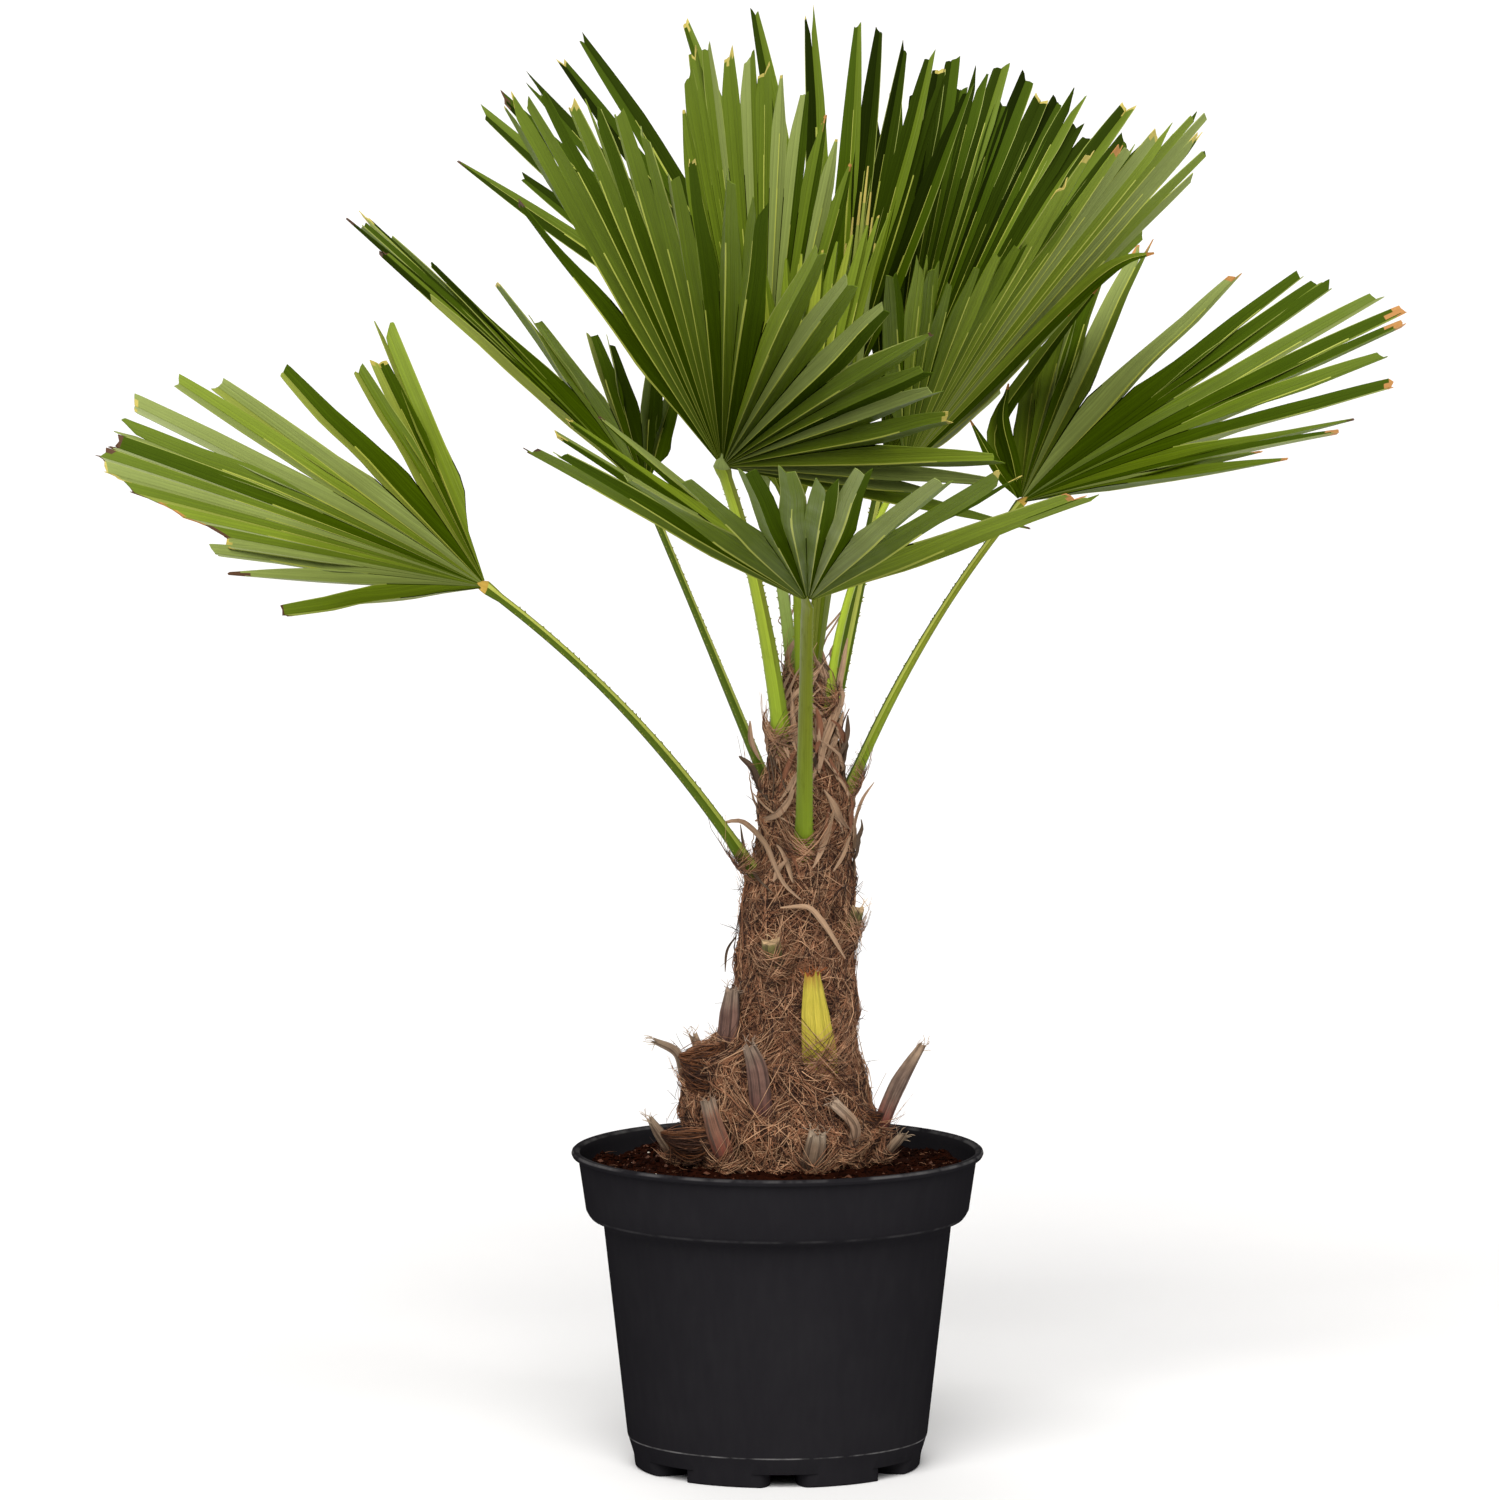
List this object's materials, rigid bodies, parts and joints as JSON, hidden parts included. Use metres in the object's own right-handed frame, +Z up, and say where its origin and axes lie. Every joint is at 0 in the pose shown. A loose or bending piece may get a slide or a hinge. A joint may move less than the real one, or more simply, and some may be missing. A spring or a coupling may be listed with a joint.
{
  "type": "potted windmill palm",
  "caption": "Young fan palm with a fibrous trunk, long thin stalks and pleated fan leaves, growing in a round black nursery pot filled with peat soil.",
  "frame": {"origin": "centre of the pot's underside, on the flat pad the pot stands on", "axes": "+Z up along the pot's axis, -Y towards the viewer of the picture, +X to the viewer's right"},
  "size_m": [0.9435, 0.86, 1.0522],
  "materials": {
    "pot_plastic": "satin black moulded plastic",
    "peat_soil": "moist dark peat",
    "trunk_fibre": "brown matted fibre",
    "leaf_blade": "pleated green leaf, satin",
    "leaf_stalk": "smooth green stalk",
    "old_leaf_base": "dry grey-brown stub",
    "green_leaf_base": "fresh yellow-green stub"
  },
  "bodies": {
    "root": {"pot": "pot_plastic", "soil": "peat_soil", "trunk": "trunk_fibre", "stalk_back_centre": "leaf_stalk", "stalk_back_right": "leaf_stalk", "stalk_front_high": "leaf_stalk", "stalk_front_low": "leaf_stalk", "stalk_inner": "leaf_stalk", "stalk_left_back": "leaf_stalk", "stalk_left_low": "leaf_stalk", "stalk_right_high": "leaf_stalk", "stalk_right_low": "leaf_stalk", "stalk_young": "leaf_stalk", "blade_back_centre": "leaf_blade", "blade_back_right": "leaf_blade", "blade_front_high": "leaf_blade", "blade_front_low": "leaf_blade", "blade_inner": "leaf_blade", "blade_left_back": "leaf_blade", "blade_left_low": "leaf_blade", "blade_right_high": "leaf_blade", "blade_right_low": "leaf_blade", "blade_young": "leaf_blade", "spear": "leaf_stalk", "base_brown_back": "old_leaf_base", "base_curled_left": "old_leaf_base", "base_cut_back": "old_leaf_base", "base_cut_back_left": "old_leaf_base", "base_cut_front": "old_leaf_base", "base_cut_right": "old_leaf_base", "base_green_front": "green_leaf_base", "base_grey_block": "old_leaf_base", "base_grey_left": "old_leaf_base", "base_long_back_left": "old_leaf_base", "base_long_right": "old_leaf_base", "base_purple_front": "old_leaf_base", "base_red_front_left": "old_leaf_base", "base_short_back": "old_leaf_base", "base_short_left": "old_leaf_base", "base_small_right": "old_leaf_base", "base_strap_right": "old_leaf_base"}
  },
  "joints": []
}
